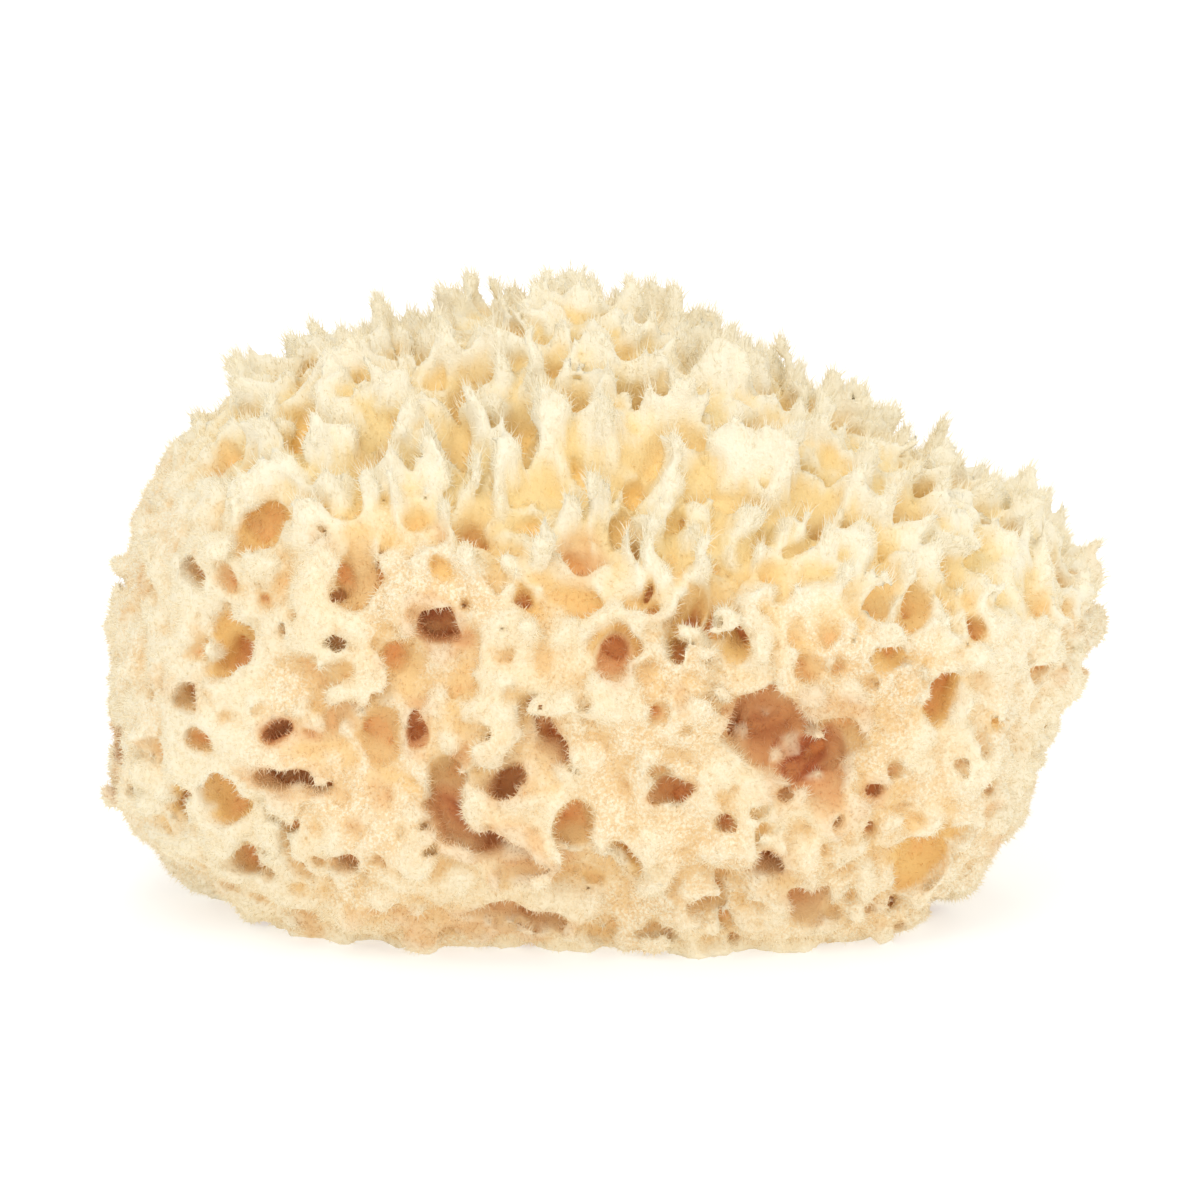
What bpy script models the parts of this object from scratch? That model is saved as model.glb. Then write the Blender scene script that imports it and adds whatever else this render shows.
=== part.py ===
"""A natural sea sponge, cut flat where it grew on the sea floor.

The sponge grew as one piece, so it is one solid. Its lower flanks are a dense felt with round and slit pores. Its
upper part, the crown, is a thicket of pointed tufts: the walls that are left between wide canals that open upwards.
Metres, +Z up. The origin is the middle of the flat cut that it rests on, and -Y is the side that faces the viewer.
"""

import math
import random

import bmesh
import bpy
import numpy as np
from mathutils import Matrix, Vector

MM = 0.001

# Overall shape
VIEW_TILT = math.radians(15.0)  # the outline below is seen from this far above the horizon
RIGHT = Vector((1.0, 0.0, 0.0))
UP = Vector((0.0, math.sin(VIEW_TILT), math.cos(VIEW_TILT)))
TOWARD = Vector((0.0, -math.cos(VIEW_TILT), math.sin(VIEW_TILT)))
HEART = Vector((0.0, 0.0, 43.5 * MM))  # the middle of the lump, above the flat cut
FRONT_DEPTH = 47 * MM
BACK_DEPTH = 50 * MM
SQUARENESS = 2.5  # 2 is an ellipsoid, and more is boxier
SWELL = 0.036  # the height of the slowest hill, times its cycles, as a share of the radius
SWELL_CYCLES = (2.1, 2.7, 3.6, 4.8, 6.3, 8.0)
RIPPLE = 0.008  # the height of the small lumps between the pores
RIPPLE_CYCLES = (8.7, 9.9, 11.4, 12.6)
ROUNDING = math.radians(5.0)  # how far the corners of the outline are rounded
OUTLINE_MM = (  # across and up from the heart, counter-clockwise from the right
    (76, 0), (75, 8), (72, 14), (67, 18.5), (60, 20.5), (53, 23.5), (46, 27.5), (40, 32), (34, 36.5), (28, 40.5),
    (21, 45), (13, 48), (5, 50.5), (-3, 52.5), (-8, 55.5), (-14, 50.5), (-24, 48), (-34, 44.5), (-44, 41), (-53, 38.5),
    (-60, 33), (-66, 24), (-70, 14), (-73, 4), (-74, -8), (-75, -22), (-74, -29), (-70, -35), (-62, -42),
    (-52, -48), (-39, -53), (-20, -54), (0, -54), (20, -54), (38, -53), (49, -47), (57, -40), (66, -26), (72, -12),
)

# Crown: tufts and the canals between them
CROWN_FLOOR = 60 * MM  # the height above which the surface is crown, at the middle
CROWN_SLOPE = 0.16  # how much lower the crown reaches for each metre to the right
CANAL_SPACING = 9.6 * MM
CANAL_DEPTH = (9 * MM, 17 * MM)
CANAL_FOOT = 1.9 * MM  # radius near a canal's floor
CANAL_MOUTH = 0.60  # radius at the mouth, as a share of the spacing
CANAL_OVERSHOOT = 7 * MM
GROWTH_UP = 0.62  # how far the tufts lean to upright, and not straight out of the surface

# Flanks and flat cut: pores
PORE_SPACING = 12.5 * MM
PORE_WIDTH = (1.9 * MM, 4.4 * MM)
PORE_SINK = 0.12  # how deep a pore's widest level lies, as a share of its depth
CUT_PORE_SPACING = 12 * MM
CUT_CLEAR = 9 * MM  # no pore opens this near the middle of the flat cut
CUT_OVERSHOOT = 16 * MM  # past the part of the lump that the flat cut takes off
FRONT_PORES_MM = (  # across, up, half width, half height, lean in degrees, depth: the large pores on the front
    (-56, -5.8, 3.5, 5.4, -25, 9), (-51.4, 12.7, 2.5, 4.3, -10, 8), (-60.6, 5.2, 2.3, 2.6, 0, 8),
    (-44, 10.7, 1.6, 2.0, 0, 7), (-37.4, 5.7, 3.8, 5.0, 10, 8), (-43.8, -0.6, 1.6, 3.3, -20, 7),
    (-49, -17.9, 2.6, 1.9, 15, 13), (-47, -26.3, 7.0, 2.4, -6, 10), (-33.5, -18.8, 3.8, 4.4, 0, 9),
    (-28.2, -17.8, 1.6, 3.5, 8, 13), (-25.5, -3.3, 3.0, 5.2, 35, 12), (-3.5, 9.2, 3.3, 4.5, 10, 9),
    (-24.4, 12.4, 1.5, 1.8, 0, 6), (-0.5, -4, 4.4, 3.2, 0, 7), (1.5, -8.6, 1.8, 1.8, 0, 13),
    (-8.4, -19.5, 3.0, 3.6, -15, 12), (-14.3, -25.6, 3.2, 3.0, 0, 12), (-23.6, -26.4, 3.7, 5.0, 0, 8),
    (-17.5, -34.8, 8.0, 2.6, -18, 12), (-3.8, -31.4, 3.2, 3.4, 0, 8), (3.8, -37.1, 2.2, 3.5, 0, 9),
    (9.6, -27.8, 2.2, 1.9, 20, 9), (24, -39, 3.4, 3.1, 15, 12), (29.3, -45.4, 3.0, 3.2, 0, 11),
    (23.5, -17.3, 6.2, 5.6, -20, 11), (28, -23.3, 4.6, 4.0, 0, 14), (35.5, -19.8, 5.0, 3.0, -10, 8),
    (33, -27.3, 4.0, 3.4, 20, 10), (41.8, -27.4, 2.2, 1.8, 0, 9), (35, -31.8, 2.9, 2.0, 10, 10),
    (50, -15.3, 3.6, 3.8, 0, 9), (47.8, -39.8, 5.0, 5.2, 30, 7), (-63, -13.3, 3.4, 3.0, -30, 7),
    (-58.5, -29.8, 3.6, 4.0, 20, 7), (-64.5, -30.8, 3.0, 1.8, -15, 7), (9.7, -5.3, 2.4, 3.0, 10, 9),
    (-31, -6.8, 2.2, 2.8, -20, 6), (-13, -46.8, 7.5, 2.4, 5, 9), (15, -44.8, 3.0, 2.4, 0, 8),
    (-55.9, -39.3, 2.4, 2.0, 0, 7), (-40, -37.8, 2.2, 1.8, 0, 7), (-61.5, -21.3, 2.2, 2.4, 0, 7),
    (13.3, 1, 2.4, 3.6, -25, 9), (20.5, -5.8, 2.2, 2.7, 0, 8), (30, -9.4, 2.3, 2.6, 0, 8), (41, -7.6, 2.1, 2.6, 0, 8),
    (47.4, -0.6, 2.4, 4.5, 0, 9), (61.5, -16.8, 2.0, 2.4, 0, 7), (57.5, -27.8, 2.2, 2.0, 20, 7),
)

# Mesh fineness
LUMP_SUBDIVISIONS = 6
PORE_SEGMENTS = 9
PORE_RINGS = 7
CANAL_RINGS = 6
EVEN_FACE = 1.3 * MM
TRIANGLES = 9000
SEED = 11

COLOUR = (0.93, 0.84, 0.63, 1.0)
ROUGHNESS = 0.95


def clear_scene():
    """Removes every object that the scene starts with."""
    for obj in list(bpy.data.objects):
        bpy.data.objects.remove(obj)


def collection(name):
    made = bpy.data.collections.new(name)
    bpy.context.scene.collection.children.link(made)
    return made


def outline_radius(angle):
    """The outline's distance from the heart at each angle, with its corners rounded."""
    points = np.array(OUTLINE_MM) * MM
    corners = np.arctan2(points[:, 1], points[:, 0])
    order = np.argsort(corners)
    radii = np.hypot(points[:, 0], points[:, 1])[order]
    blend = [
        np.interp(angle + shift * ROUNDING, corners[order], radii, period=2 * math.pi)
        for shift in (-1.0, -0.5, 0.0, 0.5, 1.0)
    ]
    return np.average(blend, axis=0, weights=(1, 2, 2, 2, 1))


def waves(directions, cycles, heights, seed):
    """The sum of one wave of each height, each crossing the lump in its own seeded direction."""
    chance = random.Random(seed)
    total = np.zeros(len(directions))
    for count, height in zip(cycles, heights):
        way = np.array([chance.gauss(0, 1) for _ in range(3)])
        way *= count / np.linalg.norm(way)
        total += np.sin(directions @ way * math.pi + chance.uniform(0, 2 * math.pi)) * height
    return total


def swell(directions):
    """Slow hills and small lumps on the surface, as a share of its radius."""
    hills = waves(directions, SWELL_CYCLES, [SWELL / count for count in SWELL_CYCLES], SEED)
    return hills + waves(directions, RIPPLE_CYCLES, [RIPPLE] * len(RIPPLE_CYCLES), SEED + 1)


def lump_radius(directions):
    """The lump's distance from the heart along each unit direction."""
    across, up, toward = (directions @ np.array(axis) for axis in (RIGHT, UP, TOWARD))
    edge = outline_radius(np.arctan2(up, across))
    depth = np.where(toward > 0, FRONT_DEPTH, BACK_DEPTH)
    fill = (np.hypot(across, up) / edge) ** SQUARENESS + (np.abs(toward) / depth) ** SQUARENESS
    side_share = np.minimum(1.0, toward**2 * 2.5)  # the outline itself doesn't swell
    return fill ** (-1 / SQUARENESS) * (1 + swell(directions) * side_share)


def on_lump(directions):
    """The lump's surface points along these directions."""
    directions = np.atleast_2d(directions)
    directions = directions / np.linalg.norm(directions, axis=1)[:, None]
    return directions * lump_radius(directions)[:, None] + np.array(HEART)


def outward(point):
    """The lump's outward normal at a surface point."""
    way = (point - HEART).normalized()
    side = way.orthogonal().normalized()
    other = way.cross(side)
    step = 0.03
    near = [Vector(p) for p in on_lump([way + side * step, way - side * step, way + other * step, way - other * step])]
    normal = (near[0] - near[1]).cross(near[2] - near[3]).normalized()
    return normal if normal.dot(way) > 0 else -normal


def front_point(across, up):
    """The point of the lump's front that the viewer sees this far across and up from the heart."""
    reach = outline_radius(np.array([math.atan2(up, across)]))[0]
    toward = FRONT_DEPTH * max(0.02, 1 - (math.hypot(across, up) / reach) ** SQUARENESS) ** (1 / SQUARENESS)
    for _ in range(4):
        guess = RIGHT * across + UP * up + TOWARD * toward
        found = lump_radius(np.array([guess.normalized()]))[0]
        toward *= found / guess.length
    return HEART + guess.normalized() * found


def is_crown(point):
    return point.z + CROWN_SLOPE * point.x > CROWN_FLOOR


def growth(point):
    """The way that the tufts grow at this point: between upright and straight out."""
    out = (point - HEART).normalized()
    return (Vector((0, 0, 1)) * GROWTH_UP + out * (1 - GROWTH_UP)).normalized()


def spread(chance, spacing, wanted, taken=(), tries=9000):
    """Points of the lump, spaced apart, for which wanted is true."""
    kept = []
    directions = [[chance.gauss(0, 1) for _ in range(3)] for _ in range(tries)]
    for place in map(Vector, on_lump(directions)):
        if wanted(place) and all((place - other).length > spacing for other in [*kept, *taken]):
            kept.append(place)
    return kept


def canal(cutters, place, axis, foot_radius, mouth_radius, depth, overshoot, turn=0.0, squash=1.0):
    """Adds a closed, round-footed cone to the cutters. Its foot lies depth below place, and it widens along axis.

    mouth_radius is its radius at place, and it keeps widening for overshoot beyond. squash narrows it one way.
    """
    made = bmesh.ops.create_uvsphere(cutters, u_segments=PORE_SEGMENTS, v_segments=CANAL_RINGS, radius=1.0)["verts"]
    side = axis.orthogonal().normalized()
    frame = Matrix((side, axis.cross(side), axis)).transposed() @ Matrix.Rotation(turn, 3, "Z")
    flare = (mouth_radius - foot_radius) / depth
    for vert in made:
        level = math.acos(max(-1.0, min(1.0, -vert.co.z))) / math.pi
        ring = math.hypot(vert.co.x, vert.co.y)
        height = min(1.0, level * CANAL_RINGS / (CANAL_RINGS - 1)) ** 1.3 * (depth + overshoot)
        radius = (foot_radius + flare * height) * min(1.0, ring * 1.9)
        around = Vector((vert.co.x, vert.co.y)) / max(ring, 1e-6) * radius
        vert.co = place + frame @ Vector((around.x * squash, around.y, height - depth))


def pore(cutters, place, half_width, half_height, lean, depth):
    """Adds an ellipsoid pore that is widest a little under the surface."""
    axis = outward(place)
    side = UP.cross(axis).normalized()
    rise = axis.cross(side).normalized()
    frame = Matrix((side, rise, axis)).transposed() @ Matrix.Rotation(lean, 3, "Z")
    made = bmesh.ops.create_uvsphere(cutters, u_segments=PORE_SEGMENTS, v_segments=PORE_RINGS, radius=1.0)["verts"]
    for vert in made:
        size = Vector((half_width, half_height, depth * (1 - PORE_SINK)))
        vert.co = place - axis * depth * PORE_SINK + frame @ (vert.co * size)


def crown_canals(cutters, chance):
    """Cuts the canals whose leftover walls are the tufts."""
    mouths = spread(chance, CANAL_SPACING, is_crown, tries=30000)
    for place in mouths:
        gaps = sorted((place - other).length for other in mouths if other is not place)[:4]
        mouth_radius = CANAL_MOUTH * sum(gaps) / len(gaps)
        height_over_floor = place.z + CROWN_SLOPE * place.x - CROWN_FLOOR
        fullness = min(1.0, 0.45 + height_over_floor / (18 * MM))
        depth = chance.uniform(*CANAL_DEPTH) * fullness
        turn = chance.uniform(0, math.pi)
        squash = chance.uniform(0.82, 1.0)
        canal(cutters, place, growth(place), CANAL_FOOT, mouth_radius, depth, CANAL_OVERSHOOT, turn, squash)
    return mouths


def front_pores(cutters):
    """Cuts the large pores of the front, where the viewer sees them."""
    places = []
    for across, up, half_width, half_height, lean, depth in FRONT_PORES_MM:
        place = front_point(across * MM, up * MM)
        pore(cutters, place, half_width * MM, half_height * MM, math.radians(lean), depth * MM)
        places.append(place)
    return places


def flank_pores(cutters, chance, taken):
    """Cuts pores like those of the front into the ends and the back."""

    def wanted(point):
        return not is_crown(point) and point.z > 7 * MM and (point - HEART).dot(TOWARD) < 14 * MM

    for place in spread(chance, PORE_SPACING, wanted, taken):
        half_width = chance.uniform(*PORE_WIDTH)
        half_height = half_width * chance.uniform(0.8, 1.5)
        depth = half_width * chance.uniform(1.8, 3.0)
        pore(cutters, place, half_width, half_height, chance.uniform(-0.8, 0.8), depth)


def cut_pores(cutters, chance):
    """Cuts the round canals that open in the flat cut."""
    kept = []
    for _ in range(900):
        place = Vector((chance.uniform(-52, 52) * MM, chance.uniform(-32, 26) * MM, 0))
        clear = math.hypot(place.x, place.y) > CUT_CLEAR
        if clear and all((place - other).length > CUT_PORE_SPACING for other in kept):
            kept.append(place)
    for place in kept:
        radius = chance.uniform(1.8, 3.4) * MM
        canal(cutters, place, Vector((0, 0, -1)), radius * 0.7, radius, radius * 3, CUT_OVERSHOOT)


def ground_block(cutters):
    """The block under the sponge: what it cuts off is where the sponge was cut from the sea floor."""
    reach, depth = 300 * MM, 60 * MM
    size = Matrix.Diagonal((reach, reach, depth, 1))
    bmesh.ops.create_cube(cutters, size=1.0, matrix=Matrix.Translation((0, 0, -depth / 2)) @ size)


def mesh_object(name, bm, home):
    mesh = bpy.data.meshes.new(name)
    bmesh.ops.recalc_face_normals(bm, faces=bm.faces)
    bm.to_mesh(mesh)
    bm.free()
    made = bpy.data.objects.new(name, mesh)
    home.objects.link(made)
    return made


def cutter_object(name, bm, home):
    made = mesh_object(name, bm, home)
    made.hide_render = True
    made.display_type = "WIRE"
    return made


def lump_object(home):
    """The whole sponge before its pores are cut, as a reshaped sphere."""
    bm = bmesh.new()
    bmesh.ops.create_icosphere(bm, subdivisions=LUMP_SUBDIVISIONS, radius=1.0)
    places = on_lump(np.array([vert.co[:] for vert in bm.verts]))
    for vert, place in zip(bm.verts, places):
        vert.co = place
    return mesh_object("sponge", bm, home)


def cut(target, cutter, cutters_cross=False):
    made = target.modifiers.new("cut_" + cutter.name, "BOOLEAN")
    made.operation = "DIFFERENCE"
    made.solver = "EXACT"
    made.use_self = cutters_cross
    made.object = cutter


def settle(target):
    """Applies the modifiers and drops any crumb that the canals cut loose."""
    graph = bpy.context.evaluated_depsgraph_get()
    mesh = bpy.data.meshes.new_from_object(target.evaluated_get(graph))
    target.modifiers.clear()
    target.data = mesh
    bm = bmesh.new()
    bm.from_mesh(mesh)
    bm.verts.ensure_lookup_table()
    left = set(bm.verts)
    islands = []
    while left:
        front = [left.pop()]
        island = set(front)
        while front:
            for edge in front.pop().link_edges:
                for vert in edge.verts:
                    if vert in left:
                        left.discard(vert)
                        island.add(vert)
                        front.append(vert)
        islands.append(island)
    islands.sort(key=len)
    for crumb in islands[:-1]:
        bmesh.ops.delete(bm, geom=list(crumb), context="VERTS")
    bmesh.ops.triangulate(bm, faces=bm.faces)
    bm.to_mesh(mesh)
    bm.free()


def sponge_material():
    material = bpy.data.materials.new("sponge_fibre")
    material.use_nodes = True
    shader = material.node_tree.nodes["Principled BSDF"]
    shader.inputs["Base Color"].default_value = COLOUR
    shader.inputs["Roughness"].default_value = ROUGHNESS
    shader.inputs["Metallic"].default_value = 0.0
    return material


def centre_on_cut(target):
    """Moves the sponge so that the origin is the middle of its box, on the flat cut."""
    corners = np.array([vert.co[:] for vert in target.data.vertices])
    middle = (corners.min(axis=0) + corners.max(axis=0)) / 2
    target.data.transform(Matrix.Translation((-middle[0], -middle[1], -corners[:, 2].min())))


def main():
    clear_scene()
    parts = collection("sea_sponge")
    helpers = collection("cutters")
    chance = random.Random(SEED)

    sponge = lump_object(parts)
    holes = bmesh.new()
    taken = crown_canals(holes, chance)
    taken += front_pores(holes)
    flank_pores(holes, chance, taken)
    cut_pores(holes, chance)
    cut(sponge, cutter_object("pores", holes, helpers), cutters_cross=True)
    settle(sponge)

    even = sponge.modifiers.new("even_faces", "REMESH")
    even.mode = "VOXEL"
    even.voxel_size = EVEN_FACE
    settle(sponge)

    thin = sponge.modifiers.new("fewer_faces", "DECIMATE")
    thin.ratio = TRIANGLES / len(sponge.data.polygons)
    settle(sponge)

    ground = bmesh.new()
    ground_block(ground)
    cut(sponge, cutter_object("ground", ground, helpers))
    settle(sponge)

    centre_on_cut(sponge)
    sponge.data.materials.clear()
    sponge.data.materials.append(sponge_material())


main()
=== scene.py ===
"""The looks of a natural sea sponge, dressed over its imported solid.

The sponge is one piece of fibre skeleton. Its body is modelled here again as a field of distances, at a much finer
grain than the solid, from the same lump, canals and pores. Loose fibres grow out of it as meshes: brushes at the
ends of the tufts, a fringe at the rims of the pores and a fuzz all over. Metres, +Z up.
"""

import logging
import math
import random
from collections.abc import Callable, Iterator
from dataclasses import dataclass, field
from enum import Enum

import bpy
import numpy as np
import openvdb
from mathutils import Matrix, Vector


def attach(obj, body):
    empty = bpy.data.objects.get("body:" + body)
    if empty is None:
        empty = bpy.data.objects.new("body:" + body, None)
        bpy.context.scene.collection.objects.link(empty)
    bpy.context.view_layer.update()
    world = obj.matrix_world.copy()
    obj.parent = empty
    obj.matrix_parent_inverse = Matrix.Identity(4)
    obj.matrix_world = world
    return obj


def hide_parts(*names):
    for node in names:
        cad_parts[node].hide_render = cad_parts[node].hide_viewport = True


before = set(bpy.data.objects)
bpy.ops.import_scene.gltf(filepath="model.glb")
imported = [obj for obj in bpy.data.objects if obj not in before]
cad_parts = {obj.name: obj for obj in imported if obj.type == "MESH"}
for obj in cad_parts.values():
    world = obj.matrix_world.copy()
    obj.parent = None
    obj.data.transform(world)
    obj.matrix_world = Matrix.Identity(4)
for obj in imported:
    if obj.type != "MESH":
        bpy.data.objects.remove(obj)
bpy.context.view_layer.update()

MM = 0.001
SEED = 11
LATTICE = 64  # random values along each side of a repeating block of them
NODE = "sponge"
BODY = "root"
CENTRING = Vector((-0.29, -0.41, 0.0)) * MM  # from the lump's own frame to the frame of the solid

VIEW_TILT = math.radians(15.0)
RIGHT = Vector((1.0, 0.0, 0.0))
UP = Vector((0.0, math.sin(VIEW_TILT), math.cos(VIEW_TILT)))
TOWARD = Vector((0.0, -math.cos(VIEW_TILT), math.sin(VIEW_TILT)))
HEART = Vector((0.0, 0.0, 43.5 * MM))

EVEN = (1, 1, 1)  # a noise that isn't drawn out

Array = np.ndarray
Mesh = bpy.types.Mesh
Object = bpy.types.Object
Socket = bpy.types.NodeSocket
Pair = tuple[float, float]
Triple = tuple[float, float, float]

log = logging.getLogger("sea_sponge")


class Tone(Enum):
    """How a hollow is coloured inside, from pale gold to the red brown of the deepest ones: partly its own colour and
    partly painted shade of its depth.
    """

    GOLD = 0.0
    TAN = 0.45
    BROWN = 0.75
    RUST = 1.0


GOLD, TAN, BROWN, RUST = Tone

OUTLINE_MM = (  # across and up from the heart, counter-clockwise from the right
    (76, 0), (75, 8), (72, 14), (67, 18.5), (60, 20.5), (53, 23.5), (46, 27.5), (40, 32), (34, 36.5), (28, 40.5),
    (21, 45), (13, 48), (5, 50.5), (-3, 52.5), (-8, 55.5), (-14, 50.5), (-24, 48), (-34, 44.5), (-44, 41), (-53, 38.5),
    (-60, 33), (-66, 24), (-70, 14), (-73, 4), (-74, -8), (-75, -22), (-74, -29), (-70, -35), (-62, -42), (-52, -48),
    (-39, -53), (-20, -54), (0, -54), (20, -54), (38, -53), (49, -47), (57, -40), (66, -26), (72, -12),
)

OUTLINE_TRIM_MM = (  # degrees round the heart from the right, and how much further out than the solid the sponge is
    (0, 0), (8, 0.6), (22, 2.4), (31, 1.8), (40, 0), (53, 0.8), (60, -3), (72, -2), (84, 0), (97, 0), (104, -1.6),
    (112, 0), (121, 1.6), (140, 2.4), (152, 1.8), (162, 0.6), (174, -1), (179, -1.2), (187, -0.6), (200, 0), (230, 0),
    (300, 0), (330, -0.8), (343, -1.8), (349, -3), (356, -1.2),
)

FRONT_PORES_MM = (  # across, up, half width, half height, lean in degrees, depth, tone
    (-56, -5.8, 3.5, 5.4, -25, 9, GOLD), (-51.4, 12.7, 2.5, 4.3, -10, 8, GOLD), (-60.6, 5.2, 2.3, 2.6, 0, 8, GOLD),
    (-44, 10.7, 1.6, 2, 0, 7, BROWN), (-37.4, 5.7, 3.8, 5, 10, 8, TAN), (-43.8, -0.6, 1.6, 3.3, -20, 7, GOLD),
    (-49, -17.9, 2.6, 1.9, 15, 13, RUST), (-47, -26.3, 7, 2.4, -6, 10, BROWN), (-33.5, -18.8, 3.8, 4.4, 0, 9, TAN),
    (-28.2, -17.8, 1.6, 3.5, 8, 13, RUST), (-25.5, -3.3, 3, 5.2, 35, 12, RUST), (-3.5, 9.2, 3.3, 4.5, 10, 9, BROWN),
    (-24.4, 12.4, 1.5, 1.8, 0, 6, BROWN), (-0.5, -4, 4.4, 3.2, 0, 7, GOLD), (1.5, -8.6, 1.8, 1.8, 0, 13, RUST),
    (-8.4, -19.5, 3, 3.6, -15, 12, BROWN), (-14.3, -25.6, 3.2, 3, 0, 12, BROWN), (-23.6, -26.4, 3.7, 5, 0, 8, TAN),
    (-17.5, -34.8, 8, 2.6, -18, 12, RUST), (-3.8, -31.4, 3.2, 3.4, 0, 8, TAN), (3.8, -37.1, 2.2, 3.5, 0, 9, GOLD),
    (9.6, -27.8, 2.2, 1.9, 20, 9, BROWN), (24, -39, 3.4, 3.1, 15, 12, BROWN), (29.3, -45.4, 3, 3.2, 0, 11, BROWN),
    (23.5, -17.3, 6.2, 5.6, -20, 11, BROWN), (28, -23.3, 4.6, 4, 0, 14, RUST), (35.5, -19.8, 5, 3, -10, 8, TAN),
    (33, -27.3, 4, 3.4, 20, 10, BROWN), (41.8, -27.4, 2.2, 1.8, 0, 9, BROWN), (35, -31.8, 2.9, 2, 10, 10, BROWN),
    (50, -15.3, 3.6, 3.8, 0, 9, GOLD), (47.8, -39.8, 5, 5.2, 30, 7, GOLD), (-63, -13.3, 3.4, 3, -30, 7, TAN),
    (-58.5, -29.8, 3.6, 4, 20, 7, GOLD), (-64.5, -30.8, 3, 1.8, -15, 7, GOLD), (9.7, -5.3, 2.4, 3, 10, 9, GOLD),
    (-31, -6.8, 2.2, 2.8, -20, 6, TAN), (-13, -46.8, 7.5, 2.4, 5, 9, BROWN), (15, -44.8, 3, 2.4, 0, 8, TAN),
    (-55.9, -39.3, 2.4, 2, 0, 7, TAN), (-40, -37.8, 2.2, 1.8, 0, 7, BROWN), (-61.5, -21.3, 2.2, 2.4, 0, 7, TAN),
    (13.3, 1, 2.4, 3.6, -25, 9, GOLD), (20.5, -5.8, 2.2, 2.7, 0, 8, GOLD), (30, -9.4, 2.3, 2.6, 0, 8, TAN),
    (41, -7.6, 2.1, 2.6, 0, 8, GOLD), (47.4, -0.6, 2.4, 4.5, 0, 9, GOLD), (61.5, -16.8, 2, 2.4, 0, 7, GOLD),
    (57.5, -27.8, 2.2, 2, 20, 7, TAN),
)

FRONT_PINHOLES_MM = (  # the same values for the smallest holes of the front
    (-39.4, 9.7, 0.9, 1.1, 0, 5, BROWN), (-54.7, 3.9, 1.3, 1.8, 0, 6, BROWN), (-41, -5.7, 0.9, 1.2, 0, 7, RUST),
    (-44.3, -18.2, 1.1, 0.8, 0, 8, RUST), (-21, 0.4, 0.8, 1.4, 10, 6, BROWN), (-11.3, 12.5, 0.8, 1, 0, 6, BROWN),
    (-14.3, -3.9, 1.3, 1.1, 0, 6, GOLD), (-32.5, -28.5, 1.1, 1.1, 0, 8, RUST), (21.2, -19.4, 0.9, 2.3, 10, 16, RUST),
    (27.8, -21.7, 1.9, 2.3, 0, 17, RUST), (-21.4, -32.4, 2.4, 1, -10, 15, RUST), (-27.9, -1.2, 1.5, 1.2, 30, 15, RUST),
    (25.6, -27.3, 1.4, 1.2, 0, 8, BROWN), (34.7, -32.3, 1.3, 1.3, 0, 9, BROWN), (39.9, -34.5, 0.9, 1.1, 0, 8, RUST),
    (-68.2, -12.4, 1.2, 1, 0, 5, TAN), (-34, -37.8, 1.3, 1.1, 0, 6, BROWN), (-47, -32.8, 1.4, 1, 0, 6, TAN),
    (-9, -13.8, 0.9, 1.1, 0, 6, BROWN), (16, -31.8, 1.1, 0.9, 0, 6, BROWN), (-3, -41.8, 1.4, 1, 0, 6, TAN),
    (8, -14.8, 1, 0.9, 0, 6, TAN),
)

FRONT_DISHES_MM = (  # the same values for the wide shallow hollows that the pores of the front lie in
    (33, -24, 17, 11, -15, 3.8, BROWN), (-45, -20.5, 11, 7, 0, 2.6, TAN), (-26, -17, 11, 15, 15, 2.8, TAN),
    (-16, -36, 14, 5, -12, 3, BROWN), (2, -4, 8, 6, 0, 2.6, TAN), (41, -33, 9, 6, 0, 2.6, TAN),
    (-25, -4, 7, 9, 20, 3, TAN), (-9, -23, 9, 8, 0, 2.6, TAN), (-25, -48, 16, 3.5, 0, 2.8, BROWN),
    (-56, -6, 8, 9, -20, 2.4, GOLD), (50, -16, 8, 8, 0, 2.4, GOLD), (24, -42, 9, 6, 10, 2.6, TAN),
)


def corners(share: Array) -> Iterator[tuple[list[int], Array]]:
    """The eight corners of the cell round each place, and how much each corner counts there."""
    for corner in range(8):
        bits = [corner >> axis & 1 for axis in range(3)]
        weight = np.ones(len(share), share.dtype)
        for axis, bit in enumerate(bits):
            weight = weight * (share[:, axis] if bit else 1 - share[:, axis])
        yield bits, weight


def lattice_noise(points: Array, wavelengths: Triple, seed: int) -> Array:
    """Smooth random values at any points.

    Args:
        points: One point to a row.
        wavelengths: The size of one random cell along each axis.
        seed: Picks the random values.

    Returns:
        A value for each point, from -1 to 1.
    """
    cells = np.random.default_rng(seed).uniform(-1, 1, LATTICE**3).astype(np.float32)
    scaled = points / np.array(wavelengths, np.float32)
    floor = np.floor(scaled)
    share = scaled - floor
    near = floor.astype(np.int64)
    total = np.zeros(len(points), np.float32)
    for bits, weight in corners(share * share * (3 - 2 * share)):
        pick = (near + bits) & (LATTICE - 1)
        total += weight * cells[(pick[:, 0] * LATTICE + pick[:, 1]) * LATTICE + pick[:, 2]]
    return total


def soft_max(first: Array, second: Array, blend: float) -> Array:
    """The larger of two fields, with the crease between them rounded over the distance blend."""
    share = np.clip(0.5 + 0.5 * (first - second) / blend, 0, 1)
    return second + (first - second) * share + blend * share * (1 - share)


def ease(values: Array, low: float, high: float) -> Array:
    """0 below low, 1 above high, and a smooth step between them."""
    share = np.clip((values - low) / (high - low), 0, 1)
    return share * share * (3 - 2 * share)


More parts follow.
